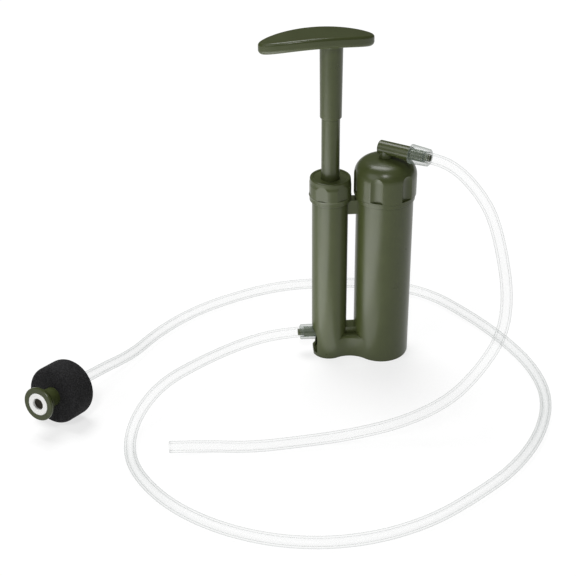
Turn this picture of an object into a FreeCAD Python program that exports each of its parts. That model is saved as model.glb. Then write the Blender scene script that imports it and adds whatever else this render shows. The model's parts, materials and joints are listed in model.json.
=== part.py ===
"""Hand pump water filter: a pump barrel and a filter canister side by side, two clear hoses, a foam float.

Millimetres, +Z up. The origin is on the resting plane, midway between the pump axis (-X) and the
filter axis (+X). Sub-parts are named for what they are, and each is written to parts/NAME.step.
"""
import FreeCAD, Part
import math
import os
import re
import Sketcher

SIZES = {
    # housing: two tubes, a hollow skirt round their feet and a bridge near their tops
    "axis_spacing": 44.0,
    "barrel_radius": 14.5,
    "barrel_bore": 12.0,
    "canister_radius": 23.0,
    "canister_bore": 20.4,
    "waist_radius": 20.0,
    "skirt_height": 20.0,
    "skirt_wall": 2.2,
    "web_round": 2.0,
    "rim_height": 1.4,
    "rim_inset": 0.5,
    "floor_under": 25.0,
    "floor_top": 28.0,
    "shoulder": 144.0,
    "neck_top": 156.0,
    "barrel_neck": 13.6,
    "canister_neck": 21.6,
    "bridge_height": 12.0,
    "bridge_half": 5.0,
    "port_offset": 5.2,
    "inlet_port": 3.6,
    "outlet_port": 4.1,
    "boss_half": 5.6,
    "boss_under": 10.0,
    "trough_half": 3.2,
    "trough_top": 22.0,
    "slot_half": 9.5,
    "slot_sill": 3.5,
    "slot_crown": 26.5,
    "screw_post": 2.6,
    "screw_hole": 1.25,
    "plate_under": 0.0,
    "plate_thickness": 2.0,
    # valves in the barrel floor
    "valve_plate_top": 31.0,
    "valve_radius": 3.4,
    "valve_lift": 1.2,
    # pump
    "pump_cap_radius": 17.0,
    "pump_cap_ring": 16.5,
    "pump_cap_flat": 16.3,
    "pump_cap_top": 164.0,
    "rod_radius": 7.25,
    "rod_top": 262.0,
    "sleeve_end": 214.4,
    "sleeve_radius": 8.5,
    "sleeve_root": 9.0,
    "grip_crest": 283.3,
    "grip_half_length": 44.5,
    "grip_half_width": 14.6,
    "grip_offset": 11.4,
    "grip_thickness": 8.8,
    "grip_arch": 4.8,
    "piston_under": 79.5,
    "piston_height": 14.0,
    "piston_radius": 11.7,
    # filter
    "filter_cap_radius": 25.0,
    "filter_cap_ring": 24.1,
    "filter_cap_top": 179.0,
    "cap_shoulder": 13.0,
    "cap_crown": 60.0,
    "flute_radius": 10.0,
    "flute_depth": 2.0,
    "hub_bore": 4.6,
    "hub_chamber": 6.4,
    "element_radius": 17.5,
    "element_bore": 12.0,
    "element_under": 34.0,
    "element_top": 149.5,
    # outlet elbow, inlet fitting and their clear sleeves
    "stem_radius": 5.4,
    "spigot_radius": 4.52,
    "arm_height": 186.3,
    "arm_radius": 5.6,
    "arm_start": 5.9,
    "arm_length": 21.5,
    "core_radius": 4.4,
    "barb_tip": 2.85,
    "passage": 2.1,
    "inlet_height": 19.5,
    # hoses
    "hose_radius": 4.5,
    "hose_bore": 3.0,
    # float and strainer, measured along the float's own axis from near its back
    "float_radius": 23.2,
    "float_face": 19.3,
    "float_back": 4.0,
    "float_bore": 4.55,
    "strainer_neck": 7.4,
    "strainer_flange": 13.4,
    "strainer_front": 37.2,
    "strainer_ring": 9.0,
    "strainer_hole": 4.6,
}

GRIP_TURN = 7.0            # degrees, the grip's turn about the pump axis
ELBOW_TURN = -35.4         # degrees, the outlet arm's heading from +X
FLOAT_HEADING = 34.3       # degrees, the strainer end's heading from -Y towards -X
FLOAT_TILT = 9.8           # degrees, the strainer end's rise
FLOAT_PLACE = (-236.6, -68.6, 23.2)
SLEEVE_LENGTH = 15.8       # clear sleeve on the outlet
INLET_SLEEVE = 12.7        # clear sleeve on the inlet
HOSE_IN_OUTLET = 33.0      # from the filter axis along the arm to the outlet hose's end
HOSE_IN_INLET = -43.5      # X of the inlet hose's end
HOSE_IN_FLOAT = 8.0        # along the float's axis to the inlet hose's end

document = FreeCAD.newDocument("PumpWaterFilter")
sheet = document.addObject("Spreadsheet::Sheet", "Sizes")
for row, (alias, number) in enumerate(SIZES.items(), start=1):
    sheet.set(f"A{row}", alias)
    sheet.set(f"B{row}", str(number))
    sheet.setAlias(f"B{row}", alias)
document.recompute()

nodes = []


# ---- expressions and drawing -------------------------------------------------------------------

def cells(text):
    """The expression with each size's name pointing at its cell."""
    return re.sub(r"[a-z]\w+", lambda word: f"Sizes.{word[0]}" if word[0] in SIZES else word[0], str(text))


def size(text):
    """The expression's value, in millimetres."""
    return float(sheet.evalExpression(cells(text)))


def is_bound(text):
    return bool(re.search(r"[a-z]", str(text)))


def bind(thing, path, text):
    if is_bound(text):
        thing.setExpression(path, cells(text))


def place(thing, x=0, y=0, z=0, turn=0, about=(0, 0, 1)):
    """Sets a sub-part's Placement, its coordinates bound to the sheet."""
    turned_by = FreeCAD.Rotation(FreeCAD.Vector(*about), turn)
    thing.Placement = FreeCAD.Placement(FreeCAD.Vector(size(x), size(y), size(z)), turned_by)
    for letter, text in zip("xyz", (x, y, z)):
        bind(thing, f"Placement.Base.{letter}", text)


def new_body(name, **where):
    body = document.addObject("PartDesign::Body", name)
    body.Label = name
    place(body, **where)
    nodes.append(body)
    return body


def new_sketch(body, plane, offset=0):
    """A sketch on one of the body's own origin planes, moved along that plane's normal."""
    sketch = body.newObject("Sketcher::SketchObject", f"{body.Name}_sketch")
    support = [feature for feature in body.Origin.OriginFeatures if feature.Role == plane][0]
    sketch.AttachmentSupport = [(support, "")]
    sketch.MapMode = "FlatFace"
    sketch.AttachmentOffset = FreeCAD.Placement(FreeCAD.Vector(0, 0, size(offset)), FreeCAD.Rotation())
    bind(sketch, "AttachmentOffset.Base.z", offset)
    return sketch


def constrain(sketch, text, kind, *where):
    index = sketch.addConstraint(Sketcher.Constraint(kind, *where, size(text)))
    bind(sketch, f"Constraints[{index}]", text)


def pin_point(sketch, curve, end, x, y):
    """Holds one end of a curve at its coordinates, bound to the sheet."""
    for text, kind, axis in ((x, "DistanceX", -2), (y, "DistanceY", -1)):
        if abs(size(text)) < 1e-9:
            sketch.addConstraint(Sketcher.Constraint("PointOnObject", curve, end, axis))
        else:
            constrain(sketch, text, kind, -1, 1, curve, end)


def arc_between(start, finish, radius, turn):
    """The minor arc between two points, turn +1 anticlockwise and -1 clockwise from start."""
    middle = (start + finish) * 0.5
    chord = finish - start
    height = math.sqrt(max(radius ** 2 - (chord.Length / 2) ** 2, 0))
    across = FreeCAD.Vector(-chord.y, chord.x, 0).normalize()
    centre = middle + across * height * turn
    first, last = (start, finish) if turn > 0 else (finish, start)
    angles = [math.atan2(point.y - centre.y, point.x - centre.x) for point in (first, last)]
    if angles[1] < angles[0]:
        angles[1] += 2 * math.pi
    return Part.ArcOfCircle(Part.Circle(centre, FreeCAD.Vector(0, 0, 1), radius), *angles)


def draw(sketch, points):
    """A closed outline. A point is (x, y), or (x, y, radius, turn) where an arc leads to it."""
    places = [FreeCAD.Vector(size(point[0]), size(point[1]), 0) for point in points]
    ends = []
    for index, point in enumerate(points):
        start, finish = places[index - 1], places[index]
        if len(point) == 2:
            curve = sketch.addGeometry(Part.LineSegment(start, finish))
            ends.append((curve, 1, 2))
        else:
            curve = sketch.addGeometry(arc_between(start, finish, size(point[2]), point[3]))
            ends.append((curve, 1, 2) if point[3] > 0 else (curve, 2, 1))
    for index, point in enumerate(points):
        curve, first, last = ends[index]
        following = ends[(index + 1) % len(points)]
        sketch.addConstraint(Sketcher.Constraint("Coincident", curve, last, following[0], following[1]))
        pin_point(sketch, curve, last, point[0], point[1])
    for index, point in enumerate(points):
        if len(point) > 2:
            constrain(sketch, point[2], "Radius", ends[index][0])


def draw_circle(sketch, x, y, radius):
    centre = FreeCAD.Vector(size(x), size(y), 0)
    curve = sketch.addGeometry(Part.Circle(centre, FreeCAD.Vector(0, 0, 1), size(radius)))
    pin_point(sketch, curve, 3, x, y)
    constrain(sketch, radius, "Radius", curve)


def draw_ellipse(sketch, x, half_length, half_width):
    """An ellipse on the sketch's horizontal axis, its long axis along it."""
    centre = FreeCAD.Vector(size(x), 0, 0)
    long_end = centre + FreeCAD.Vector(size(half_length), 0, 0)
    short_end = centre + FreeCAD.Vector(0, size(half_width), 0)
    curve = sketch.addGeometry(Part.Ellipse(long_end, short_end, centre))
    sketch.exposeInternalGeometry(curve)
    pin_point(sketch, curve, 3, x, 0)
    sketch.addConstraint(Sketcher.Constraint("Horizontal", curve + 1))
    constrain(sketch, f"2 * ({half_length})", "Distance", curve + 1)
    constrain(sketch, f"2 * ({half_width})", "Distance", curve + 2)


def box_outline(x0, x1, y0, y1):
    return [(x0, y0), (x1, y0), (x1, y1), (x0, y1)]


# ---- features ----------------------------------------------------------------------------------

def extrude(body, kind, sketch, length, backwards=False, both=False, taper=0):
    """A Pad or Pocket of a sketch; backwards turns it against the feature's usual direction."""
    before = body.Tip.Shape.Volume if body.Tip and body.Tip.TypeId.startswith("PartDesign") else 0
    feature = body.newObject(f"PartDesign::{kind}", f"{body.Name}_{kind}")
    feature.Profile = sketch
    feature.Length = size(length)
    bind(feature, "Length", length)
    feature.Reversed = backwards
    feature.Midplane = both
    feature.TaperAngle = -taper
    document.recompute()
    grew = feature.Shape.Volume > before
    if grew != (kind == "Pad"):
        raise ValueError(f"{feature.Label} changed nothing")
    return feature


def spin(body, kind, sketch):
    """A Revolution or Groove about the sketch's vertical axis."""
    feature = body.newObject(f"PartDesign::{kind}", f"{body.Name}_{kind}")
    feature.Profile = sketch
    feature.ReferenceAxis = (sketch, ["V_Axis"])
    feature.Angle = 360
    document.recompute()
    return feature


def round_edges(body, radius, wanted):
    """Fillets the edges that wanted(edge) picks from the body's present shape."""
    names = [f"Edge{i}" for i, edge in enumerate(body.Shape.Edges, start=1) if wanted(edge)]
    if not names:
        raise ValueError(f"{body.Label}: no edge to round")
    solid = body.Tip
    feature = body.newObject("PartDesign::Fillet", f"{body.Name}_fillet")
    feature.Base = (solid, names)
    feature.Radius = radius
    document.recompute()
    return feature


def local(body, edge):
    """An edge's mid point in the body's own coordinates."""
    middle = edge.valueAt((edge.FirstParameter + edge.LastParameter) / 2)
    return body.Placement.inverse().multVec(middle)


def repeat_around(body, feature, count):
    """A polar pattern of a feature about the body's own Z axis."""
    pattern = body.newObject("PartDesign::PolarPattern", f"{body.Name}_pattern")
    axis = [thing for thing in body.Origin.OriginFeatures if thing.Role == "Z_Axis"][0]
    pattern.Originals = [feature]
    pattern.Axis = (axis, [""])
    pattern.Angle = 360
    pattern.Occurrences = count
    body.Tip = pattern
    document.recompute()
    return pattern


def turned(name, outline, **where):
    """A turned piece: its half section, as (radius, height) points, spun about its own Z axis."""
    body = new_body(name, **where)
    sketch = new_sketch(body, "XZ_Plane")
    draw(sketch, outline)
    spin(body, "Revolution", sketch)
    return body


def seal_ring(name, x, height, ring, section):
    """An O-ring lying flat about one of the two axes."""
    torus = document.addObject("Part::Torus", name)
    torus.Label = name
    for path, text in (("Radius1", ring), ("Radius2", section)):
        setattr(torus, path, size(text))
        bind(torus, path, text)
    place(torus, x=x, z=height)
    nodes.append(torus)
    return torus


def tube_outline(inner, outer, low, high):
    return [(inner, low), (outer, low), (outer, high), (inner, high)]


PUMP_X = "-axis_spacing / 2"
FILTER_X = "axis_spacing / 2"


# ---- housing -----------------------------------------------------------------------------------

def twin_outline(inset):
    """The outline round both tubes' feet, pulled in by inset, with the two tangent waist arcs."""
    small, large = f"(barrel_radius - {inset})", f"(canister_radius - {inset})"
    waist = f"(waist_radius + {inset})"
    small_reach, large_reach = f"({small} + {waist})", f"({large} + {waist})"
    along = f"((axis_spacing^2 + {small_reach}^2 - {large_reach}^2) / (2 * axis_spacing))"
    out = f"sqrt({small_reach}^2 - {along}^2)"
    small_x = f"{PUMP_X} + {along} * {small} / {small_reach}"
    small_y = f"{out} * {small} / {small_reach}"
    large_x = f"{FILTER_X} - (axis_spacing - {along}) * {large} / {large_reach}"
    large_y = f"{out} * {large} / {large_reach}"
    return [
        (f"{PUMP_X} - {small}", "0", small, 1),
        (small_x, f"-({small_y})", small, 1),
        (large_x, f"-({large_y})", waist, -1),
        (f"{FILTER_X} + {large}", "0", large, 1),
        (large_x, large_y, large, 1),
        (small_x, small_y, waist, -1),
    ]


def base_screw_places():
    return [("-20", "9"), ("-20", "-9"), ("33", "12"), ("33", "-12")]


def make_housing():
    body = new_body("housing")
    step = new_sketch(body, "XY_Plane")
    draw(step, twin_outline("rim_inset"))
    extrude(body, "Pad", step, "rim_height")
    skirt = new_sketch(body, "XY_Plane", "rim_height")
    draw(skirt, twin_outline("0"))
    extrude(body, "Pad", skirt, "skirt_height - rim_height - web_round")
    low_bevel = new_sketch(body, "XY_Plane", "skirt_height - web_round")
    draw(low_bevel, twin_outline("0"))
    extrude(body, "Pad", low_bevel, "0.7 * web_round", taper=25)
    high_bevel = new_sketch(body, "XY_Plane", "skirt_height - 0.3 * web_round")
    draw(high_bevel, twin_outline("(0.3 * web_round)"))
    extrude(body, "Pad", high_bevel, "0.3 * web_round", taper=60)
    tubes = new_sketch(body, "XY_Plane", "rim_height")
    draw_circle(tubes, PUMP_X, "0", "barrel_radius")
    draw_circle(tubes, FILTER_X, "0", "canister_radius")
    extrude(body, "Pad", tubes, "shoulder - rim_height")
    necks = new_sketch(body, "XY_Plane", "shoulder")
    draw_circle(necks, PUMP_X, "0", "barrel_neck")
    draw_circle(necks, FILTER_X, "0", "canister_neck")
    extrude(body, "Pad", necks, "neck_top - shoulder")
    bridge = new_sketch(body, "XY_Plane", "shoulder - bridge_height")
    draw(bridge, box_outline(f"{PUMP_X} + 8", f"{FILTER_X} - 16", "-bridge_half", "bridge_half"))
    extrude(body, "Pad", bridge, "bridge_height")

    bores = new_sketch(body, "XY_Plane", "neck_top")
    draw_circle(bores, PUMP_X, "0", "barrel_bore")
    draw_circle(bores, FILTER_X, "0", "canister_bore")
    extrude(body, "Pocket", bores, "neck_top - floor_top")
    under_floors = new_sketch(body, "XY_Plane")
    draw_circle(under_floors, PUMP_X, "0", "barrel_radius - skirt_wall")
    draw_circle(under_floors, FILTER_X, "0", "canister_radius - skirt_wall")
    extrude(body, "Pocket", under_floors, "floor_under", backwards=True)
    under_web = new_sketch(body, "XY_Plane")
    draw(under_web, twin_outline("skirt_wall"))
    extrude(body, "Pocket", under_web, "skirt_height - skirt_wall", backwards=True)

    add_transfer_channel(body)
    add_screw_posts(body)
    cut_inlet_slot(body)
    return body


def add_transfer_channel(body):
    """The block under both floors that carries water from the barrel to the canister."""
    block = new_sketch(body, "XY_Plane", "boss_under")
    draw(block, box_outline("-22.4", "25.6", "-boss_half", "boss_half"))
    extrude(body, "Pad", block, "floor_under - boss_under + 0.5")
    trough = new_sketch(body, "XY_Plane", "boss_under")
    draw(trough, box_outline("-20.6", "23.4", "-trough_half", "trough_half"))
    extrude(body, "Pocket", trough, "trough_top - boss_under", backwards=True)
    ports = new_sketch(body, "XY_Plane", "floor_top")
    draw_circle(ports, f"{PUMP_X} + port_offset", "0", "outlet_port")
    draw_circle(ports, FILTER_X + " - 2", "0", "3")
    extrude(body, "Pocket", ports, "floor_top - trough_top + 0.5")
    inlet = new_sketch(body, "XY_Plane", "floor_top")
    draw_circle(inlet, f"{PUMP_X} - port_offset", "0", "inlet_port")
    extrude(body, "Pocket", inlet, "8")


def add_screw_posts(body):
    """Four posts for the base plate's screws, each with its blind hole."""
    posts = new_sketch(body, "XY_Plane", "plate_under + plate_thickness")
    for x, y in base_screw_places():
        draw_circle(posts, x, y, "screw_post")
    extrude(body, "Pad", posts, "floor_under - plate_under - plate_thickness + 0.5")
    holes = new_sketch(body, "XY_Plane", "plate_under + plate_thickness")
    for x, y in base_screw_places():
        draw_circle(holes, x, y, "screw_hole")
    extrude(body, "Pocket", holes, "9", backwards=True)


def cut_inlet_slot(body):
    """The arched opening in the barrel's foot that the inlet fitting comes out of."""
    slot = new_sketch(body, "YZ_Plane", f"{PUMP_X} - barrel_radius - 1")
    spring_line = "slot_crown - slot_half"
    draw(slot, [("-slot_half", "slot_sill"), ("slot_half", "slot_sill"), ("slot_half", spring_line),
                ("0", "slot_crown", "slot_half", 1), ("-slot_half", spring_line, "slot_half", 1)])
    extrude(body, "Pocket", slot, "6.4", backwards=True)
    flat = new_sketch(body, "YZ_Plane", f"{PUMP_X} - barrel_radius + 1.1")
    draw(flat, box_outline("-slot_half - 1", "slot_half + 1", "-1", "slot_sill"))
    extrude(body, "Pocket", flat, "3")


def make_base_plate():
    body = new_body("base_plate", z="plate_under")
    face = new_sketch(body, "XY_Plane")
    draw(face, twin_outline("(skirt_wall + 0.15)"))
    extrude(body, "Pad", face, "plate_thickness")
    holes = new_sketch(body, "XY_Plane")
    for x, y in base_screw_places():
        draw_circle(holes, x, y, "1.5")
    extrude(body, "Pocket", holes, "plate_thickness", backwards=True)
    heads = new_sketch(body, "XY_Plane")
    for x, y in base_screw_places():
        draw_circle(heads, x, y, "2.6")
    extrude(body, "Pocket", heads, "1", backwards=True)
    return body


def make_base_screws():
    """Four pan-head self-tapping screws, one node of four solids."""
    parts = []
    for x, y in base_screw_places():
        head = Part.makeCylinder(2.4, 0.9, FreeCAD.Vector(0, 0, 0))
        socket = Part.makeBox(3.2, 0.6, 0.5, FreeCAD.Vector(-1.6, -0.3, 0))
        shank = Part.makeCylinder(1.2, 9.6, FreeCAD.Vector(0, 0, 0.9))
        screw = head.cut(socket).fuse(shank).removeSplitter()
        screw.translate(FreeCAD.Vector(float(x), float(y), 0))
        parts.append(screw)
    feature = document.addObject("Part::Feature", "base_screws")
    feature.Label = "base_screws"
    feature.Shape = Part.makeCompound(parts)
    place(feature, z="plate_under + 0.05")
    nodes.append(feature)
    return feature


def make_channel_cover():
    """The plate that closes the transfer channel, with its tongue standing in the trough."""
    body = new_body("channel_cover", z="boss_under")
    plate = new_sketch(body, "XY_Plane", "-2")
    draw(plate, box_outline("-22.4", "25.6", "-boss_half", "boss_half"))
    extrude(body, "Pad", plate, "2")
    tongue = new_sketch(body, "XY_Plane")
    draw(tongue, box_outline("-20.5", "23.3", "-trough_half + 0.1", "trough_half - 0.1"))
    extrude(body, "Pad", tongue, "1.6")
    return body


# ---- valves ------------------------------------------------------------------------------------

def make_valve_plate():
    """The disc on the barrel's floor that both rubber valves are held in."""
    body = new_body("valve_plate", x=PUMP_X, z="floor_top")
    disc = new_sketch(body, "XY_Plane")
    draw_circle(disc, "0", "0", "barrel_bore - 0.3")
    extrude(body, "Pad", disc, "valve_plate_top - floor_top")
    ports = new_sketch(body, "XY_Plane")
    for side in ("-", ""):
        centre = f"{side}port_offset"
        draw_circle(ports, centre, "0", "0.95")
        for x, y in ((2.2, 0), (0, 2.2), (-2.2, 0), (0, -2.2)):
            draw_circle(ports, f"{centre} + {x}", y, "0.9")
    extrude(body, "Pocket", ports, "valve_plate_top - floor_top", backwards=True)
    rim = new_sketch(body, "XZ_Plane")
    draw(rim, tube_outline("barrel_bore - 1.6", "barrel_bore + 1", "0.7", "2.3"))
    spin(body, "Groove", rim)
    return body


def mushroom_outline():
    """Half section of a mushroom valve with its head up, its sealing face at height 0."""
    stem = "valve_plate_top - floor_top + valve_lift + 0.1"
    return [("0", "1"), ("valve_radius - 0.8", "1"), ("valve_radius", "0.5"), ("valve_radius", "0"),
            ("0.87", "0"), ("0.87", f"-({stem})"), ("1.3", f"-({stem})"), ("0.7", f"-({stem}) - 1"),
            ("0", f"-({stem}) - 1")]


def make_valves():
    turned("inlet_valve", mushroom_outline(), x=f"{PUMP_X} - port_offset", z="valve_plate_top + 0.05")
    turned("outlet_valve", mushroom_outline(), x=f"{PUMP_X} + port_offset", z="floor_top - 0.05",
           turn=180, about=(1, 0, 0))
    seal_ring("valve_plate_seal", PUMP_X, "floor_top + 1.5", "barrel_bore - 0.85", "0.72")


# ---- inlet -------------------------------------------------------------------------------------

def make_inlet_fitting():
    """An angle fitting: up into the barrel's floor, and out to the left to the inlet hose."""
    body = new_body("inlet_fitting", x=f"{PUMP_X} - port_offset", z="inlet_height")
    riser = new_sketch(body, "XZ_Plane")
    rise = "floor_top - inlet_height"
    draw(riser, [("0", "-4.6"), ("4.6", "-4.6"), ("4.6", "floor_under - inlet_height - 0.1"),
                 ("inlet_port - 0.05", "floor_under - inlet_height - 0.1"), ("inlet_port - 0.05", rise),
                 ("0", rise)])
    spin(body, "Revolution", riser)
    branch = new_sketch(body, "YZ_Plane")
    draw_circle(branch, "0", "0", "4.6")
    extrude(body, "Pad", branch, "6.8", backwards=True)
    core = new_sketch(body, "YZ_Plane", "-6.8")
    draw_circle(core, "0", "0", "core_radius")
    extrude(body, "Pad", core, "9.5", backwards=True)
    barb = new_sketch(body, "YZ_Plane", "-16.3")
    draw_circle(barb, "0", "0", "barb_tip")
    extrude(body, "Pad", barb, "5", backwards=True)
    bore = new_sketch(body, "YZ_Plane", "-21.3")
    draw_circle(bore, "0", "0", "passage")
    extrude(body, "Pocket", bore, "21.3", backwards=True)
    well = new_sketch(body, "XY_Plane", rise)
    draw_circle(well, "0", "0", "2.7")
    extrude(body, "Pocket", well, f"{rise} + 2")
    return body


def clear_sleeve(name, low_radius, high_radius, length, **where):
    """A clear sleeve over a hose's end, tapered outside, with a small rounded lip."""
    bore = "hose_radius + 0.05"
    return turned(name, [(bore, "0"), (low_radius, "0"), (high_radius, f"{length} - 0.6"),
                         (f"{high_radius} - 0.6", length), (bore, length)], **where)


# ---- pump --------------------------------------------------------------------------------------

def make_rod_guide():
    """The bush in the top of the barrel that the rod slides in, its flange on the barrel's neck."""
    turned("rod_guide", [("rod_radius + 0.07", "-18"), ("barrel_bore - 0.1", "-18"),
                         ("barrel_bore - 0.1", "0"), ("barrel_neck - 0.3", "0"),
                         ("barrel_neck - 0.3", "2"), ("rod_radius + 0.07", "2")],
           x=PUMP_X, z="neck_top")


def cut_flats(body, distance, half_width, sill, crown):
    """Six arched flats round a cap, the first one facing its own +X."""
    flat = new_sketch(body, "YZ_Plane", distance)
    spring_line = f"{crown} - {half_width}"
    draw(flat, [(f"-({half_width})", sill), (half_width, sill), (half_width, spring_line),
                ("0", crown, half_width, 1), (f"-({half_width})", spring_line, half_width, 1)])
    cut = extrude(body, "Pocket", flat, "6", backwards=True)
    repeat_around(body, cut, 6)


def make_pump_cap():
    top = "pump_cap_top - shoulder"
    ceiling = "neck_top - shoulder + 3.3"
    body = turned("pump_cap", [
        ("barrel_neck + 0.3", "0"), ("pump_cap_ring - 0.4", "0"), ("pump_cap_ring", "0.4"),
        ("pump_cap_ring", "3.2"), ("pump_cap_radius", "4.6"), ("pump_cap_radius", "14.2"),
        ("16.5", "16.4"), ("16.3", f"{top} - 1.1"), ("15.2", top, "1.1", 1), ("14.2", top),
        ("13.4", f"{top} - 0.7"),
        ("8.6", f"{top} - 1"), ("rod_radius + 0.35", f"{top} - 1.3"),
        ("rod_radius + 0.35", ceiling), ("barrel_neck + 0.3", ceiling)],
        x=PUMP_X, z="shoulder", turn=-60)
    cut_flats(body, "pump_cap_flat", "5.3", "4.7", "17.2")
    turned("pump_cap_seal", tube_outline("rod_radius + 0.9", "barrel_neck - 0.3", "0", "1.2"),
           x=PUMP_X, z="neck_top + 2.05")


def make_handle():
    """The grip, an ellipse in plan with arched faces, on the sleeve that grasps the rod."""
    body = new_body("handle", x=PUMP_X, z="sleeve_end", turn=GRIP_TURN)
    crest = "grip_crest - sleeve_end"
    grip = new_sketch(body, "XY_Plane", f"{crest} - 19")
    draw_ellipse(grip, "-grip_offset", "grip_half_length", "grip_half_width")
    extrude(body, "Pad", grip, "20")
    reach = "(grip_half_length + 4)"
    drop = "(grip_arch * 1.19)"
    arch_radius = f"(({reach}^2 + {drop}^2) / (2 * {drop}))"
    over = new_sketch(body, "XZ_Plane")
    left, right = f"-grip_offset - {reach}", f"-grip_offset + {reach}"
    draw(over, [(left, f"{crest} - {drop}"), ("-grip_offset", crest, arch_radius, -1),
                (right, f"{crest} - {drop}", arch_radius, -1), (right, f"{crest} + 5"),
                (left, f"{crest} + 5")])
    extrude(body, "Pocket", over, "60", both=True)
    under = new_sketch(body, "XZ_Plane")
    belly = f"{crest} - grip_thickness"
    sag = "(grip_arch * 1.31)"
    belly_radius = f"(({reach}^2 + {sag}^2) / (2 * {sag}))"
    draw(under, [(left, f"{belly} - {sag}"), ("-grip_offset", belly, belly_radius, -1),
                 (right, f"{belly} - {sag}", belly_radius, -1), (right, f"{crest} - 24"),
                 (left, f"{crest} - 24")])
    extrude(body, "Pocket", under, "60", both=True)
    round_edges(body, 3.4, lambda edge: is_grip_edge(body, edge, below=True))
    round_edges(body, 2.2, lambda edge: is_grip_edge(body, edge, below=False))
    sleeve = new_sketch(body, "XZ_Plane")
    bored = "rod_top - sleeve_end + 0.1"
    draw(sleeve, [("rod_radius + 0.04", "0"), ("sleeve_radius - 0.6", "0"), ("sleeve_radius", "0.6"),
                  ("sleeve_root", f"{crest} - 4"), ("0", f"{crest} - 4"), ("0", bored),
                  ("rod_radius + 0.04", bored)])
    spin(body, "Revolution", sleeve)
    round_edges(body, 1.8, lambda edge: is_sleeve_joint(body, edge))
    return body


def is_grip_edge(body, edge, below):
    """The grip's long rim edges, above or below its middle height."""
    point = local(body, edge)
    middle_height = size("grip_crest - sleeve_end - grip_thickness / 2 - 2")
    long_enough = edge.BoundBox.XLength > 12 or edge.BoundBox.YLength > 12
    return long_enough and (point.z < middle_height) == below


def is_sleeve_joint(body, edge):
    """The closed edge where the sleeve meets the grip's underside."""
    around = 2 * size("sleeve_root")
    wide = abs(edge.BoundBox.XLength - around) < 0.4 and abs(edge.BoundBox.YLength - around) < 0.4
    return wide and local(body, edge).z > size("rod_top - sleeve_end") + 5


def make_rod_and_piston():
    turned("pump_rod", tube_outline("5.4", "rod_radius", "0", "rod_top - piston_under - piston_height"),
           x=PUMP_X, z="piston_under + piston_height")
    groove = "piston_radius - 1.5"
    outline = [("2.2", "0"), ("piston_radius", "0")]
    for low, high in (("2", "4.2"), ("9.8", "12")):
        outline += [("piston_radius", low), (groove, low), (groove, high), ("piston_radius", high)]
    outline += [("piston_radius", "piston_height"), ("5.3", "piston_height"),
                ("5.3", "piston_height + 14"), ("2.2", "piston_height + 14")]
    turned("piston", outline, x=PUMP_X, z="piston_under")
    turned("piston_screw", [("0", "-2.4"), ("4.2", "-2.4"), ("4.2", "-0.05"), ("2", "-0.05"),
                            ("2", "26"), ("0", "26")], x=PUMP_X, z="piston_under")
    for name, height in (("piston_seal_lower", "3.1"), ("piston_seal_upper", "10.9")):
        seal_ring(name, PUMP_X, f"piston_under + {height}", "barrel_bore - 0.92", "0.87")


# ---- filter ------------------------------------------------------------------------------------

def cut_flutes(body):
    """Six hollow flutes round the filter cap, each turned about an axis outside the cap."""
    cutter = new_sketch(body, "XZ_Plane")
    away = "filter_cap_radius - flute_depth + flute_radius"
    cutter.AttachmentOffset = FreeCAD.Placement(FreeCAD.Vector(size(away), 0, 0), FreeCAD.Rotation())
    bind(cutter, "AttachmentOffset.Base.x", away)
    draw(cutter, [("0", "5"), ("flute_radius", "5"), ("flute_radius", "21.5"),
                  ("flute_radius - 1.3", "27", "12.285", 1), ("0", "27")])
    repeat_around(body, spin(body, "Groove", cutter), 6)



def make_filter_cap():
    top = "filter_cap_top - shoulder"
    apart, across = "(cap_crown - cap_shoulder)", "(filter_cap_radius - cap_shoulder)"
    rise = f"sqrt({apart}^2 - {across}^2)"
    turning = f"(cap_crown * {across} / {apart})"
    ledge = "neck_top - shoulder + 1.8"
    body = turned("filter_cap", [
        ("canister_neck + 0.3", "0"), ("filter_cap_ring - 0.4", "0"), ("filter_cap_ring", "0.4"),
        ("filter_cap_ring", "3.6"), ("filter_cap_radius", "4.4"),
        ("filter_cap_radius", f"{top} - cap_crown + {rise}"),
        (turning, f"{top} - cap_crown + {rise} * cap_crown / {apart}", "cap_shoulder", 1),
        ("hub_bore", f"{top} - cap_crown + sqrt(cap_crown^2 - hub_bore^2)", "cap_crown", 1),
        ("hub_bore", f"{top} - 9"), ("hub_chamber", f"{top} - 9"),
        ("hub_chamber", "13"), ("9", "13"), ("9", "26"), ("16", "26"), ("20.4", "21"),
        ("20.4", ledge), ("canister_neck + 0.3", ledge)],
        x=FILTER_X, z="shoulder", turn=6)
    cut_flutes(body)
    turned("filter_cap_seal", tube_outline("20.5", "canister_neck", "0", "1.7"),
           x=FILTER_X, z="neck_top + 0.05")


def make_filter_element():
    """The ceramic candle round its carbon core, and the two moulded caps at its ends."""
    length = "element_top - element_under"
    turned("ceramic_element", tube_outline("element_bore + 0.1", "element_radius", "0", length),
           x=FILTER_X, z="element_under")
    turned("carbon_core", tube_outline("4.5", "element_bore", "0", length),
           x=FILTER_X, z="element_under")
    lip, rim = "element_radius + 0.1", "element_radius + 1.2"
    foot = turned("element_lower_cap", [("0", "-3"), (rim, "-3"), (rim, "3"), (lip, "3"), (lip, "0"),
                                        ("0", "0")], x=FILTER_X, z="element_under")
    feet = new_sketch(foot, "XY_Plane", "-3")
    for x, y in (("10", "8"), ("-10", "8"), ("10", "-8"), ("-10", "-8")):
        draw_circle(feet, x, y, "2")
    extrude(foot, "Pad", feet, "element_under - floor_top - 3", backwards=True)
    turned("element_upper_cap", [
        ("2.8", "0"), (lip, "0"), (lip, "-3"), (rim, "-3"), (rim, "3"), ("5.8", "3"),
        ("5.8", "9.7"), ("4.9", "9.7"), ("4.9", "11.3"), ("5.8", "11.3"), ("5.8", "16"),
        ("2.8", "16")], x=FILTER_X, z="element_top")
    seal_ring("spigot_seal", FILTER_X, "element_top + 10.5", "hub_chamber - 0.77", "0.72")


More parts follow.
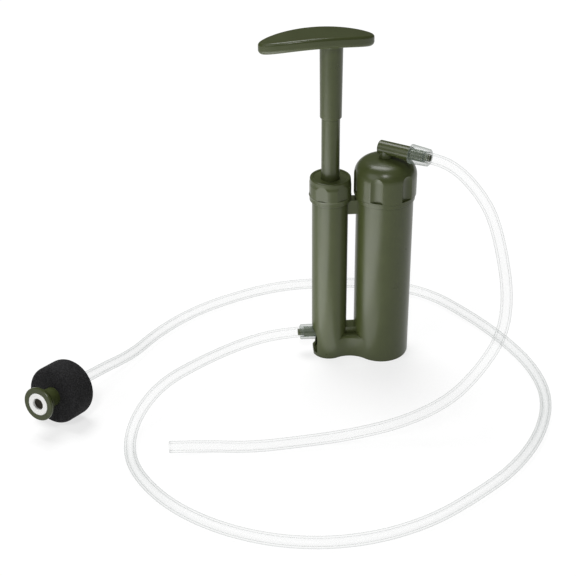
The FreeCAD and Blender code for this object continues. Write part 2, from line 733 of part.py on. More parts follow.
def make_outlet_elbow():
    """The outlet: a stem that turns in the filter cap, and an arm with a hose core."""
    body = new_body("outlet_elbow", x=FILTER_X, z="arm_height", turn=ELBOW_TURN)
    low = "filter_cap_top + 0.15 - arm_height"
    foot = "filter_cap_top - 10.6 - arm_height"
    stem = new_sketch(body, "XZ_Plane")
    draw(stem, [("0", foot), ("spigot_radius", foot), ("spigot_radius", f"{foot} + 5"),
                ("spigot_radius - 1.2", f"{foot} + 5"), ("spigot_radius - 1.2", f"{foot} + 6.4"),
                ("spigot_radius", f"{foot} + 6.4"), ("spigot_radius", low), ("stem_radius", low),
                ("stem_radius", "0"), ("0", "0")])
    spin(body, "Revolution", stem)
    arm = new_sketch(body, "YZ_Plane", "-arm_start")
    draw_circle(arm, "0", "0", "arm_radius")
    extrude(body, "Pad", arm, "arm_length + arm_start")
    round_edges(body, 0.9, lambda edge: is_arm_end(body, edge))
    core = new_sketch(body, "YZ_Plane", "arm_length")
    draw_circle(core, "0", "0", "core_radius")
    extrude(body, "Pad", core, f"{HOSE_IN_OUTLET} - arm_length")
    barb = new_sketch(body, "YZ_Plane", HOSE_IN_OUTLET)
    draw_circle(barb, "0", "0", "barb_tip")
    extrude(body, "Pad", barb, "5")
    bore = new_sketch(body, "YZ_Plane", f"{HOSE_IN_OUTLET} + 5")
    draw_circle(bore, "0", "0", "passage")
    extrude(body, "Pocket", bore, f"{HOSE_IN_OUTLET} + 5")
    well = new_sketch(body, "XY_Plane", foot)
    draw_circle(well, "0", "0", "2.4")
    extrude(body, "Pocket", well, f"-({foot}) + 2", backwards=True)
    turned("elbow_clip", tube_outline("spigot_radius + 0.02", "hub_chamber - 0.5", "0", "1.2"),
           x=FILTER_X, z="filter_cap_top - 10.4")
    seal_ring("elbow_seal", FILTER_X, "filter_cap_top - 4.9", "hub_bore - 0.66", "0.6")
    heading = math.radians(ELBOW_TURN)
    along = FreeCAD.Vector(math.cos(heading), math.sin(heading), 0)
    clear_sleeve("outlet_hose_sleeve", "7.8", "6.8", str(SLEEVE_LENGTH),
                 x=f"{FILTER_X} + arm_length * {along.x:.6f}", y=f"arm_length * {along.y:.6f}",
                 z="arm_height", turn=90, about=(-along.y, along.x, 0))
    return body


def is_arm_end(body, edge):
    """The rim of the arm's closed end."""
    point = local(body, edge)
    return abs(point.x + size("arm_start")) < 0.01 and edge.BoundBox.ZLength > size("arm_radius")


# ---- float and strainer ------------------------------------------------------------------------

def float_axis():
    heading, tilt = math.radians(FLOAT_HEADING), math.radians(FLOAT_TILT)
    return FreeCAD.Vector(-math.sin(heading) * math.cos(tilt), -math.cos(heading) * math.cos(tilt),
                          math.sin(tilt))


def on_float(name, outline):
    """A turned piece on the float's axis, height 0 at FLOAT_PLACE."""
    axis = float_axis()
    lean = FreeCAD.Vector(-axis.y, axis.x, 0)
    x, y, z = FLOAT_PLACE
    return turned(name, outline, x=x, y=y, z=z, turn=90 - FLOAT_TILT, about=tuple(lean))


def make_float():
    back_round, face_round = "3.6", "2.6"
    on_float("float", [
        ("float_bore", "-float_back"), (f"float_radius - {back_round}", "-float_back"),
        ("float_radius", f"-float_back + {back_round}", back_round, 1),
        ("float_radius", f"float_face - {face_round}"),
        (f"float_radius - {face_round}", "float_face", face_round, 1), ("float_bore", "float_face")])
    front = "strainer_front"
    on_float("strainer_body", [
        ("2.4", HOSE_IN_FLOAT), ("4.5", HOSE_IN_FLOAT), ("4.5", "float_face"),
        ("strainer_neck", "float_face"), ("strainer_neck", f"{front} - 8"), ("10", f"{front} - 7.4"),
        ("10", f"{front} - 6.2"), ("strainer_neck", f"{front} - 5.6"),
        ("strainer_neck", f"{front} - 3.2"), ("strainer_flange", f"{front} - 2"),
        ("strainer_flange", f"{front} - 0.5"), ("strainer_flange - 0.5", front),
        ("strainer_ring + 0.05", front), ("strainer_ring + 0.05", f"{front} - 2.6"),
        ("strainer_hole - 0.6", f"{front} - 2.6"), ("strainer_hole - 0.6", "22"), ("2.4", "22")])
    on_float("strainer_ring", [
        ("strainer_hole", f"{front} - 2.55"), ("strainer_ring", f"{front} - 2.55"),
        ("strainer_ring", f"{front} - 0.3"), ("strainer_ring - 0.4", f"{front} + 0.1"),
        ("strainer_hole + 0.4", f"{front} + 0.1"), ("strainer_hole", f"{front} - 0.3")])
    screen = on_float("strainer_screen", [("0", f"{front} - 2.55"), ("strainer_hole - 0.05", f"{front} - 2.55"),
                                          ("strainer_hole - 0.05", f"{front} - 1.95"),
                                          ("0", f"{front} - 1.95")])
    holes = new_sketch(screen, "XY_Plane", f"{front} - 1.95")
    spots = [(x, y) for x in range(-3, 4) for y in range(-3, 4) if x * x + y * y < 12]
    for x, y in spots:
        draw_circle(holes, str(x), str(y), "0.36")
    extrude(screen, "Pocket", holes, "0.6")


# ---- hoses -------------------------------------------------------------------------------------

REST = 4.6                 # height of a hose's centre line where it lies on the ground

OUTLET_ROUTE = [
    (59.9, -26.9, 186.3), (70.6, -35.1, 182.7), (80.3, -43.8, 175.2), (88.9, -53.0, 165.3),
    (95.8, -62.6, 153.1), (101.5, -76.0, 129.0), (104.0, -93.0, 101.5), (98.5, -107.5, 76.5),
    (82.0, -119.0, 56.0), (57.0, -129.0, 34.0), (21.0, -131.0, 17.0), (-19.0, -131.0, 8.0),
    (-60.0, -132.0, REST), (-98.0, -135.0, REST), (-130.0, -132.3, 6.2), (-158.0, -135.6, 9.7),
]

INLET_ROUTE = [
    (-64.0, 0.0, 19.3), (-97.0, -12.5, 19.0), (-134.0, -44.0, 23.0), (-164.0, -73.0, 24.0),
    (-184.0, -100.0, 13.5), (-190.0, -131.0, REST), (-180.0, -165.0, REST), (-155.0, -201.0, REST),
    (-116.0, -230.0, REST), (-70.0, -246.0, REST), (-22.0, -246.5, REST), (24.0, -232.0, REST),
    (62.0, -207.0, REST), (97.0, -179.0, REST), (127.0, -139.0, REST), (144.5, -92.0, REST),
    (142.0, -46.0, REST), (126.0, -1.0, REST), (105.0, 38.0, REST), (78.0, 77.0, REST),
    (38.0, 98.0, REST), (-10.0, 105.0, REST), (-57.0, 103.0, REST), (-101.0, 86.5, REST),
    (-140.0, 62.5, REST), (-170.0, 31.0, REST), (-188.5, -1.5, 7.0),
]


def hose_path(points):
    """Straight runs joined by tangent arcs, as one wire; also gives the tightest bend."""
    points = [FreeCAD.Vector(*point) for point in points]
    edges, tightest, last = [], float("inf"), points[0]
    for before, corner, after in zip(points, points[1:], points[2:]):
        arriving, leaving = (corner - before), (after - corner)
        reach = 0.45 * min(arriving.Length, leaving.Length)
        half_turn = arriving.getAngle(leaving) / 2
        arriving.normalize()
        leaving.normalize()
        radius = reach / math.tan(half_turn)
        tightest = min(tightest, radius)
        start, finish = corner - arriving * reach, corner + leaving * reach
        inward = (leaving - arriving).normalize()
        middle = corner + inward * radius * (1 / math.cos(half_turn) - 1)
        edges += [Part.LineSegment(last, start).toShape(), Part.Arc(start, middle, finish).toShape()]
        last = finish
    edges.append(Part.LineSegment(last, points[-1]).toShape())
    return Part.Wire(edges), tightest


def make_hose(name, points):
    """A clear tube with its bore, swept along the route."""
    path, tightest = hose_path(points)
    start = FreeCAD.Vector(*points[0])
    heading = FreeCAD.Vector(*points[1]) - start
    outer, inner = [path.makePipe(Part.Face(Part.Wire(Part.makeCircle(size(radius), start, heading))))
                    for radius in ("hose_radius", "hose_bore")]
    tube = outer.cut(inner)
    section = math.pi * (size("hose_radius") ** 2 - size("hose_bore") ** 2)
    print(f"{name}: {path.Length:.1f} mm long, tightest bend {tightest:.1f} mm, "
          f"volume over section times length {tube.Volume / (section * path.Length):.4f}, "
          f"lowest point {tube.optimalBoundingBox().ZMin:.3f} mm")
    feature = document.addObject("Part::Feature", name)
    feature.Label = name
    feature.Shape = tube
    nodes.append(feature)


def make_hoses():
    heading = math.radians(ELBOW_TURN)
    along = FreeCAD.Vector(math.cos(heading), math.sin(heading), 0)
    outlet_start = FreeCAD.Vector(size(FILTER_X), 0, size("arm_height")) + along * HOSE_IN_OUTLET
    make_hose("outlet_hose", [tuple(outlet_start)] + OUTLET_ROUTE)
    inlet_start = (HOSE_IN_INLET, 0, size("inlet_height"))
    float_centre, axis = FreeCAD.Vector(*FLOAT_PLACE), float_axis()
    approach = [tuple(float_centre - axis * 36), tuple(float_centre + axis * HOSE_IN_FLOAT)]
    make_hose("inlet_hose", [inlet_start] + INLET_ROUTE + approach)


# ---- the whole ---------------------------------------------------------------------------------

make_housing()
make_base_plate()
make_base_screws()
make_channel_cover()
make_valve_plate()
make_valves()
make_inlet_fitting()
clear_sleeve("inlet_hose_sleeve", "6.5", "6.3", str(INLET_SLEEVE),
             x="-34", z="inlet_height", turn=-90, about=(0, 1, 0))
make_rod_guide()
make_pump_cap()
make_handle()
make_rod_and_piston()
make_filter_cap()
make_filter_element()
make_outlet_elbow()
make_float()
make_hoses()
document.recompute()

os.makedirs("parts", exist_ok=True)
for thing in document.Objects:
    if "Invalid" in thing.State or "Error" in thing.State:
        raise ValueError(f"{thing.Label} failed: {thing.State}")
for node in nodes:
    if node.Shape.isNull() or not node.Shape.isValid():
        raise ValueError(f"{node.Label} has no valid shape")
    node.Shape.exportStep(f"parts/{node.Label}.step")
    box = node.Shape.BoundBox
    print(f"{node.Label:22s} {node.Shape.Volume:9.1f} mm3  solids {len(node.Shape.Solids)}  "
          f"x {box.XMin:7.1f}..{box.XMax:7.1f}  y {box.YMin:7.1f}..{box.YMax:7.1f}  "
          f"z {box.ZMin:7.2f}..{box.ZMax:7.2f}")
print(f"{len(nodes)} sub-parts")
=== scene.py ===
"""The looks of a hand pump water filter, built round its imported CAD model. Metres, +Z up."""
import json
import math

import bpy
from mathutils import Matrix, Vector

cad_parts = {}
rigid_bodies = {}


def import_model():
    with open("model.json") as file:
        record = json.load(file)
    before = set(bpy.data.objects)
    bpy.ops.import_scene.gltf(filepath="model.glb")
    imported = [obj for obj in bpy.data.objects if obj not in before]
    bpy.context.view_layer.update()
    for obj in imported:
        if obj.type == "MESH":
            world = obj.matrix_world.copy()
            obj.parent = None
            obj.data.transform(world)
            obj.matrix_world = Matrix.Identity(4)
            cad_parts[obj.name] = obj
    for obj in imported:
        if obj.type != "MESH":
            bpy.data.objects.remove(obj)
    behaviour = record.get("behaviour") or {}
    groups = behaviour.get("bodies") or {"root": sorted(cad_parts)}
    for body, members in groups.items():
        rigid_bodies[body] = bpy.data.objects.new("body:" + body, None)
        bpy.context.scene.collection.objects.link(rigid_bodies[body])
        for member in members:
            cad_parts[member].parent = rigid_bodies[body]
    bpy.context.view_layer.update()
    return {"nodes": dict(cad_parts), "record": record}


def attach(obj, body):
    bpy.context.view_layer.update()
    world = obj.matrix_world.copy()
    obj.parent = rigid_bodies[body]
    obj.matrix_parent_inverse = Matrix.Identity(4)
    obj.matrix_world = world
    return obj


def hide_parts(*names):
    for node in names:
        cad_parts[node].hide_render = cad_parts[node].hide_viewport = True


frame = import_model()
nodes = frame["nodes"]
MM = 0.001

# ---- camera ------------------------------------------------------------------------------------

CAMERA_PLACE = Vector((-0.127852, -0.922814, 0.613582))
CAMERA_AZIMUTH = math.radians(-4.423)
CAMERA_ELEVATION = math.radians(30.736)
CAMERA_ROLL = math.radians(-0.592)
CAMERA_LENS, CAMERA_SENSOR = 81.25, 36
CAMERA_REACH = (0.01, 50)


def make_camera():
    """The view of the reference picture: place, heading, height and roll as above."""
    data = bpy.data.cameras.new("camera")
    data.sensor_width = CAMERA_SENSOR
    data.lens = CAMERA_LENS
    data.clip_start, data.clip_end = CAMERA_REACH
    a, e, r = CAMERA_AZIMUTH, CAMERA_ELEVATION, CAMERA_ROLL
    back = Vector((math.sin(a) * math.cos(e), -math.cos(a) * math.cos(e), math.sin(e)))
    level = Vector((math.cos(a), math.sin(a), 0))
    upright = back.cross(level)
    right = level * math.cos(r) + upright * math.sin(r)
    up = upright * math.cos(r) - level * math.sin(r)
    camera = bpy.data.objects.new("camera", data)
    turn = Matrix((right, up, back)).transposed().to_4x4()
    camera.matrix_world = Matrix.Translation(CAMERA_PLACE) @ turn
    bpy.context.collection.objects.link(camera)
    bpy.context.scene.camera = camera


# ---- hoses -------------------------------------------------------------------------------------

HOSE_RADIUS, HOSE_BORE = 0.0045, 0.0030
REST = 0.0046  # height of the middle of a hose that lies on the floor
ELBOW_TURN = math.radians(-35.4)
ELBOW_AXIS = (0.022, 0.0, 0.1863)
HOSE_IN_OUTLET = 0.033  # from the elbow's axis to where the hose starts on its core
INLET_START = Vector((-0.0435, 0, 0.0195))
FLOAT_APPROACH, HOSE_IN_FLOAT = 0.036, 0.008  # behind and past the float's place, along its axis
FLOAT_PLACE = Vector((-0.2366, -0.0686, 0.0232))
FLOAT_HEADING, FLOAT_TILT = math.radians(34.3), math.radians(9.8)
FLOAT_AXIS = Vector((-math.sin(FLOAT_HEADING) * math.cos(FLOAT_TILT),
                     -math.cos(FLOAT_HEADING) * math.cos(FLOAT_TILT), math.sin(FLOAT_TILT)))

OUTLET_ROUTE = [
    (0.0599, -0.0269, 0.1863), (0.0706, -0.0351, 0.1827), (0.0803, -0.0438, 0.1752), (0.0889, -0.053, 0.1653),
    (0.0958, -0.0626, 0.1531), (0.1015, -0.076, 0.129), (0.104, -0.093, 0.1015), (0.0985, -0.1075, 0.0765),
    (0.082, -0.119, 0.056), (0.057, -0.129, 0.034), (0.021, -0.131, 0.017), (-0.019, -0.131, 0.008),
    (-0.060, -0.132, REST), (-0.098, -0.135, REST), (-0.130, -0.1323, 0.0062), (-0.158, -0.1356, 0.0097),
]

INLET_ROUTE = [
    (-0.064, 0.0, 0.0193), (-0.097, -0.0125, 0.019), (-0.134, -0.044, 0.023), (-0.164, -0.073, 0.024),
    (-0.184, -0.100, 0.0135), (-0.190, -0.131, REST), (-0.180, -0.165, REST), (-0.155, -0.201, REST),
    (-0.116, -0.230, REST), (-0.070, -0.246, REST), (-0.022, -0.2465, REST), (0.024, -0.232, REST),
    (0.062, -0.207, REST), (0.097, -0.179, REST), (0.127, -0.139, REST), (0.1445, -0.092, REST),
    (0.142, -0.046, REST), (0.126, -0.001, REST), (0.105, 0.038, REST), (0.078, 0.077, REST),
    (0.038, 0.098, REST), (-0.010, 0.105, REST), (-0.057, 0.103, REST), (-0.101, 0.0865, REST),
    (-0.140, 0.0625, REST), (-0.170, 0.031, REST), (-0.1885, -0.0015, 0.007),
]


SPLINE_STEPS = 12
SPLINE_ORDER = 3


def spline_points(name, route):
    """The points of the smooth line that a hose follows: a NURBS spline on its route."""
    data = bpy.data.curves.new(f"{name}_line", "CURVE")
    data.dimensions = "3D"
    data.resolution_u = SPLINE_STEPS
    spline = data.splines.new("NURBS")
    spline.points.add(len(route) - 1)
    for point, place in zip(spline.points, route):
        point.co = (*place, 1)
    spline.order_u = SPLINE_ORDER
    spline.use_endpoint_u = True
    curve = bpy.data.objects.new(f"{name}_line", data)
    bpy.context.collection.objects.link(curve)
    bpy.context.view_layer.update()
    line = bpy.data.meshes.new_from_object(curve.evaluated_get(bpy.context.evaluated_depsgraph_get()))
    points = [vertex.co.copy() for vertex in line.vertices]
    bpy.data.objects.remove(curve)
    bpy.data.meshes.remove(line)
    return points


def carried_frames(points):
    """(point, side, up) along a line, without twist."""
    frames, side = [], None
    for index, point in enumerate(points):
        ahead = points[min(index + 1, len(points) - 1)]
        behind = points[max(index - 1, 0)]
        heading = (ahead - behind).normalized()
        if side is None:
            side = heading.orthogonal()
        side = (side - heading * side.dot(heading)).normalized()
        frames.append((point, side, heading.cross(side)))
    return frames


def tube_mesh(name, points, outer, inner, around=32):
    """A hollow tube along the points, both ends cut square."""
    vertices, faces = [], []
    frames = carried_frames(points)
    for radius in (outer, inner):
        for point, side, up in frames:
            for step in range(around):
                angle = 2 * math.pi * step / around
                vertices.append(point + (side * math.cos(angle) + up * math.sin(angle)) * radius)
    rings = len(frames)
    shell = rings * around
    wall_faces = 2 * (rings - 1) * around
    for ring in range(rings - 1):
        for step in range(around):
            a, b = ring * around + step, ring * around + (step + 1) % around
            faces.append((a, b, b + around, a + around))
            faces.append((shell + b, shell + a, shell + a + around, shell + b + around))
    for step in range(around):
        a, b = step, (step + 1) % around
        faces.append((b, a, shell + a, shell + b))
        last = (rings - 1) * around
        faces.append((last + a, last + b, shell + last + b, shell + last + a))
    mesh = bpy.data.meshes.new(name)
    mesh.from_pydata(vertices, [], faces)
    mesh.validate()
    for polygon in mesh.polygons:
        polygon.use_smooth = polygon.index < wall_faces
    piece = bpy.data.objects.new(name, mesh)
    bpy.context.collection.objects.link(piece)
    return piece


def make_hoses():
    """Both hoses as tubes. Returns each one's tube and the points of its middle line."""
    arm = Vector((math.cos(ELBOW_TURN), math.sin(ELBOW_TURN), 0))
    outlet_start = Vector(ELBOW_AXIS) + arm * HOSE_IN_OUTLET
    outlet = [outlet_start] + [Vector(place) for place in OUTLET_ROUTE]
    approach = [FLOAT_PLACE - FLOAT_AXIS * FLOAT_APPROACH, FLOAT_PLACE + FLOAT_AXIS * HOSE_IN_FLOAT]
    inlet = [INLET_START] + [Vector(place) for place in INLET_ROUTE] + approach
    hoses = {}
    for name, route, body in (("outlet_hose", outlet, "elbow"), ("inlet_hose", inlet, "housing")):
        points = spline_points(name, route)
        hose = tube_mesh(f"{name}_tube", points, HOSE_RADIUS, HOSE_BORE)
        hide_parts(name)
        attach(hose, body)
        hoses[name] = (hose, points)
    return hoses


# ---- materials ---------------------------------------------------------------------------------

def new_material(name):
    """(material, its node tree, its Principled shader)"""
    material = bpy.data.materials.new(name)
    material.use_nodes = True
    tree = material.node_tree
    return material, tree, tree.nodes["Principled BSDF"]


NOISE_ROUGHNESS = 0.55
NOISE_LOW, NOISE_HIGH = 0.3, 0.7  # most of a noise texture's values lie between these


def object_noise(tree, scale, detail, stretch=(1, 1, 1)):
    """A noise texture in the piece's own coordinates, which are metres."""
    place = tree.nodes.new("ShaderNodeTexCoord")
    mapping = tree.nodes.new("ShaderNodeMapping")
    mapping.inputs["Scale"].default_value = stretch
    noise = tree.nodes.new("ShaderNodeTexNoise")
    noise.inputs["Scale"].default_value = scale
    noise.inputs["Detail"].default_value = detail
    noise.inputs["Roughness"].default_value = NOISE_ROUGHNESS
    tree.links.new(place.outputs["Object"], mapping.inputs["Vector"])
    tree.links.new(mapping.outputs["Vector"], noise.inputs["Vector"])
    return noise


def ramp(tree, source, stops):
    """A colour ramp from (position, colour) stops."""
    node = tree.nodes.new("ShaderNodeValToRGB")
    elements = node.color_ramp.elements
    while len(elements) < len(stops):
        elements.new(0.5)
    for element, (position, colour) in zip(elements, stops):
        element.position = position
        element.color = (*colour, 1)
    tree.links.new(source, node.inputs["Fac"])
    return node


def spread(tree, source, low, high):
    """The middle of a noise source's values laid between low and high."""
    node = tree.nodes.new("ShaderNodeMapRange")
    node.inputs["From Min"].default_value = NOISE_LOW
    node.inputs["From Max"].default_value = NOISE_HIGH
    node.inputs["To Min"].default_value = low
    node.inputs["To Max"].default_value = high
    tree.links.new(source, node.inputs["Value"])
    return node.outputs["Result"]


def bump(tree, shader, height, distance, strength):
    """Fine relief from a height source, distance metres deep."""
    node = tree.nodes.new("ShaderNodeBump")
    node.inputs["Strength"].default_value = strength
    node.inputs["Distance"].default_value = distance
    tree.links.new(height, node.inputs["Height"])
    tree.links.new(node.outputs["Normal"], shader.inputs["Normal"])


def moulded_plastic(name, dark, light, rough=(0.27, 0.34), gloss=0.5):
    """Satin moulded plastic: slightly uneven colour and gloss, and a very fine moulded grain."""
    material, tree, shader = new_material(name)
    clouds = object_noise(tree, 55, 4)
    fine = object_noise(tree, 2600, 2)
    colour = ramp(tree, clouds.outputs["Fac"], [(NOISE_LOW, dark), (NOISE_HIGH, light)])
    tree.links.new(colour.outputs["Color"], shader.inputs["Base Color"])
    tree.links.new(spread(tree, clouds.outputs["Fac"], *rough), shader.inputs["Roughness"])
    bump(tree, shader, fine.outputs["Fac"], 0.00002, 0.35)
    shader.inputs["IOR"].default_value = 1.5
    shader.inputs["Specular IOR Level"].default_value = gloss
    return material


def clear_tube(name, body, painted_edge_opacity, colour, power):
    """Clear flexible tube: its opacity goes from body, where it is faced, to edge, where it is grazed. The grey
    colour that shows at the grazed edges is a painted reflection.
    """
    material, tree, shader = new_material(name)
    facing = tree.nodes.new("ShaderNodeLayerWeight")
    facing.inputs["Blend"].default_value = 0.5
    steep = tree.nodes.new("ShaderNodeMath")
    steep.operation = "POWER"
    steep.inputs[1].default_value = power
    tree.links.new(facing.outputs["Facing"], steep.inputs[0])
    solid = tree.nodes.new("ShaderNodeMapRange")
    solid.inputs["To Min"].default_value = body
    solid.inputs["To Max"].default_value = painted_edge_opacity
    tree.links.new(steep.outputs["Value"], solid.inputs["Value"])
    tree.links.new(solid.outputs["Result"], shader.inputs["Alpha"])
    shader.inputs["Base Color"].default_value = (*colour, 1)
    shader.inputs["Roughness"].default_value = 0.18
    shader.inputs["IOR"].default_value = 1.45
    return material


def black_foam(name):
    """Open-cell foam: matt black with small pits and lighter cell walls; the pits are darkened with painted
    shade.
    """
    material, tree, shader = new_material(name)
    place = tree.nodes.new("ShaderNodeTexCoord")
    cells = tree.nodes.new("ShaderNodeTexVoronoi")
    cells.inputs["Scale"].default_value = 900
    tree.links.new(place.outputs["Object"], cells.inputs["Vector"])
    # the near-black pit colour is painted shade in the cells
    pit_painted_shade, wall = (0.003, 0.003, 0.003), (0.024, 0.024, 0.025)
    colour = ramp(tree, cells.outputs["Distance"], [(0.1, pit_painted_shade), (0.75, wall)])
    tree.links.new(colour.outputs["Color"], shader.inputs["Base Color"])
    bump(tree, shader, cells.outputs["Distance"], 0.0006, 0.9)
    shader.inputs["Roughness"].default_value = 0.95
    shader.inputs["Specular IOR Level"].default_value = 0.2
    return material


def rubber(name, colour, roughness=0.6):
    """Matt rubber or mineral with a little unevenness in its colour and skin."""
    material, tree, shader = new_material(name)
    clouds = object_noise(tree, 700, 3)
    darker = tuple(channel * 0.8 for channel in colour)
    shade = ramp(tree, clouds.outputs["Fac"], [(NOISE_LOW, darker), (NOISE_HIGH, colour)])
    tree.links.new(shade.outputs["Color"], shader.inputs["Base Color"])
    bump(tree, shader, clouds.outputs["Fac"], 0.00003, 0.4)
    shader.inputs["Roughness"].default_value = roughness
    return material


def brushed_metal(name, colour):
    """Metal with fine streaks in its gloss."""
    material, tree, shader = new_material(name)
    streaks = object_noise(tree, 900, 2, stretch=(1, 1, 12))
    tree.links.new(spread(tree, streaks.outputs["Fac"], 0.28, 0.42), shader.inputs["Roughness"])
    bump(tree, shader, streaks.outputs["Fac"], 0.00001, 0.3)
    shader.inputs["Base Color"].default_value = (*colour, 1)
    shader.inputs["Metallic"].default_value = 1
    return material


OLIVE_DARK, OLIVE_LIGHT = (0.040, 0.049, 0.0155), (0.046, 0.056, 0.018)


def make_materials():
    """One material for each slot name in the record."""
    return {
        "olive_plastic": moulded_plastic("olive_plastic", OLIVE_DARK, OLIVE_LIGHT, gloss=0.35),
        "white_plastic": moulded_plastic("white_plastic", (0.70, 0.70, 0.66), (0.78, 0.78, 0.74)),
        "ring_white": moulded_plastic("ring_white", (0.78, 0.78, 0.76), (0.84, 0.84, 0.82), rough=(0.3, 0.38)),
        # both clear materials show a painted reflection: grey colour at their grazed edges
        "clear_plastic": clear_tube("clear_plastic", body=0.14, painted_edge_opacity=0.9, colour=(0.24, 0.29, 0.25), power=1.9),
        "clear_tube": clear_tube("clear_tube", body=0.02, painted_edge_opacity=0.8, colour=(0.30, 0.335, 0.325), power=3.2),
        "black_foam": black_foam("black_foam"),
        "black_rubber": rubber("black_rubber", (0.02, 0.02, 0.02)),
        "valve_rubber": rubber("valve_rubber", (0.30, 0.10, 0.05), roughness=0.5),
        "ceramic_white": rubber("ceramic_white", (0.72, 0.70, 0.64), roughness=0.85),
        "carbon_black": rubber("carbon_black", (0.018, 0.018, 0.018), roughness=0.9),
        "screw_steel": brushed_metal("screw_steel", (0.55, 0.55, 0.56)),
        # the screen's near-black colour is painted shade of the strainer's hole; its brown tint is the screen's
        # own
        "screen_steel": brushed_metal("screen_steel", (0.05, 0.045, 0.035)),
    }


def finish_nodes(materials):
    """Every CAD node gets its slot's material."""
    for part in frame["record"]["subparts"]:
        piece = nodes[part["node"]]
        material = materials[part["material_slot"]]
        for slot in piece.material_slots:
            slot.material = material
        if not piece.material_slots:
            piece.data.materials.append(material)


# ---- float -------------------------------------------------------------------------------------

def float_frame():
    """Matrix from the float's own axes, its height along FLOAT_AXIS, to the row frame."""
    side = Vector((0, 0, 1)).cross(FLOAT_AXIS).normalized()
    up = FLOAT_AXIS.cross(side)
    return Matrix.Translation(FLOAT_PLACE) @ Matrix((side, up, FLOAT_AXIS)).transposed().to_4x4()


FLOAT_BORE = 4.6
FLOAT_PROFILE = [  # radius and height in mm, from the bore's back rim round the outside to its front rim
    (FLOAT_BORE, -3.7), (9.0, -4.0), (14.0, -4.0), (19.0, -3.95), (21.2, -3.5), (22.5, -2.3), (23.1, -0.6),
    (23.2, 2.0), (23.2, 8.0), (23.2, 14.0), (23.15, 16.8), (22.5, 18.3), (21.0, 19.1), (18.0, 19.3),
    (12.0, 19.3), (7.0, 19.3), (FLOAT_BORE, 19.0),
]
FLOAT_BORE_HEIGHTS = (14, 8, 2)
FLOAT_SEGMENTS = 220


def smooth_profile(stops, steps=6):
    """Catmull-Rom points through a profile's stops."""
    points = []
    for index in range(len(stops) - 1):
        p0, p1 = Vector(stops[max(index - 1, 0)]), Vector(stops[index])
        p2, p3 = Vector(stops[index + 1]), Vector(stops[min(index + 2, len(stops) - 1)])
        for step in range(steps):
            t = step / steps
            points.append(0.5 * (2 * p1 + (p2 - p0) * t + (2 * p0 - 5 * p1 + 4 * p2 - p3) * t * t
                                 + (3 * p1 - p0 - 3 * p2 + p3) * t ** 3))
    points.append(Vector(stops[-1]))
    return points


def make_float(foam):
    """The foam float: a short fat cylinder with an uneven open-cell skin and a bore for the hose."""
    profile = smooth_profile(FLOAT_PROFILE)
    profile += [Vector((FLOAT_BORE, height)) for height in FLOAT_BORE_HEIGHTS]
    around, rings = FLOAT_SEGMENTS, len(profile)
    vertices, faces = [], []
    for point in profile:
        for step in range(around):
            angle = 2 * math.pi * step / around
            vertices.append((point.x * math.cos(angle) * MM, point.x * math.sin(angle) * MM, point.y * MM))
    for ring in range(rings):
        for step in range(around):
            a, b = ring * around + step, ring * around + (step + 1) % around
            after = (ring + 1) % rings * around
            faces.append((a, b, after + (step + 1) % around, after + step))
    mesh = bpy.data.meshes.new("float_foam")
    mesh.from_pydata(vertices, [], faces)
    mesh.transform(float_frame())
    mesh.update()
    for polygon in mesh.polygons:
        polygon.use_smooth = True
    piece = bpy.data.objects.new("float_foam", mesh)
    bpy.context.collection.objects.link(piece)
    piece.data.materials.append(foam)
    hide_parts("float")
    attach(piece, "housing")
    return piece


# ---- floor and light ---------------------------------------------------------------------------

FLOOR_REACH = 4.0
FLOOR_GLOW = 0.70  # most of the floor's white is its own light, so shadows on it stay faint


def make_floor():
    """A wide white floor."""
    mesh = bpy.data.meshes.new("floor")
    corners = [(x * FLOOR_REACH, y * FLOOR_REACH, 0) for x, y in ((-1, -1), (1, -1), (1, 1), (-1, 1))]
    mesh.from_pydata(corners, [], [(0, 1, 2, 3)])
    floor = bpy.data.objects.new("floor", mesh)
    bpy.context.collection.objects.link(floor)
    material, _, shader = new_material("floor_white")
    shader.inputs["Base Color"].default_value = (0.28, 0.28, 0.28, 1)
    shader.inputs["Emission Color"].default_value = (1, 1, 1, 1)
    shader.inputs["Emission Strength"].default_value = FLOOR_GLOW
    shader.inputs["Roughness"].default_value = 0.9
    shader.inputs["Specular IOR Level"].default_value = 0.1
    floor.data.materials.append(material)


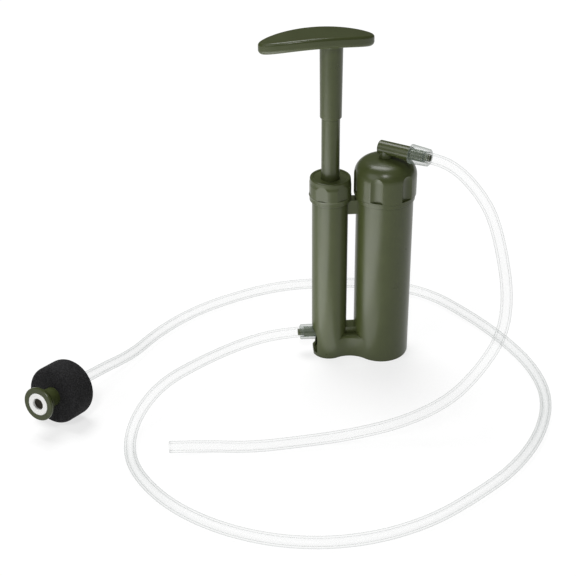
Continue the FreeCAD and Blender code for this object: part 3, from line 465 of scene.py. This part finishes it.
def sky_light(name, toward, strength, spread_angle):
    """Even soft light that comes from the direction toward, as wide as spread_angle degrees."""
    data = bpy.data.lights.new(name, "SUN")
    data.energy = strength
    data.angle = math.radians(spread_angle)
    lamp = bpy.data.objects.new(name, data)
    lamp.rotation_euler = Vector(toward).to_track_quat("Z", "Y").to_euler()
    bpy.context.collection.objects.link(lamp)


LEFT_IN_SHADE = ("floor", "float", "strainer", "inlet_hose", "outlet_hose")
CARD_HEIGHT = 0.0012


def bounce_card(name, middle, width, depth, power):
    """A bright card flat above the floor, which the plastic's sides reflect. It lights nothing else."""
    data = bpy.data.lights.new(name, "AREA")
    data.shape = "RECTANGLE"
    data.size, data.size_y = width, depth
    data.energy = power
    lamp = bpy.data.objects.new(name, data)
    lamp.location = (*middle, CARD_HEIGHT)
    lamp.rotation_euler = (math.pi, 0, 0)  # facing up
    lamp.visible_camera = False
    bpy.context.collection.objects.link(lamp)
    lit = bpy.data.collections.new(name + "_lights")
    for piece in bpy.data.objects:
        if piece.type == "MESH" and not piece.name.startswith(LEFT_IN_SHADE):
            lit.objects.link(piece)
    lamp.light_linking.receiver_collection = lit


def make_light():
    """A dim white room, three soft lights and two cards on the left."""
    world = bpy.data.worlds.new("studio")
    bpy.context.scene.world = world
    world.use_nodes = True
    room = world.node_tree.nodes["Background"]
    room.inputs["Color"].default_value = (1, 1, 1, 1)
    room.inputs["Strength"].default_value = 0.10
    sky_light("overhead", (-0.10, 0.36, 1), strength=2.35, spread_angle=32)
    sky_light("key", (-0.75, -0.45, 0.5), strength=0.9, spread_angle=40)
    sky_light("front", (-0.10, -0.62, 0.78), strength=1.0, spread_angle=10)
    bounce_card("left_card", (-0.28, -0.19), width=0.42, depth=0.34, power=1.7)
    bounce_card("near_card", (-0.04, -0.065), width=0.07, depth=0.08, power=0.03)
    bpy.context.scene.view_settings.view_transform = "Standard"
    bpy.context.scene.cycles.transparent_max_bounces = 32


# ---- the scene ---------------------------------------------------------------------------------

make_camera()
hoses = make_hoses()
materials = make_materials()
finish_nodes(materials)
make_float(materials["black_foam"])
for hose, points in hoses.values():
    hose.data.materials.append(materials["clear_tube"])
    hose.visible_glossy = False
hose, points = hoses["outlet_hose"]
hose, points = hoses["inlet_hose"]
make_floor()
make_light()
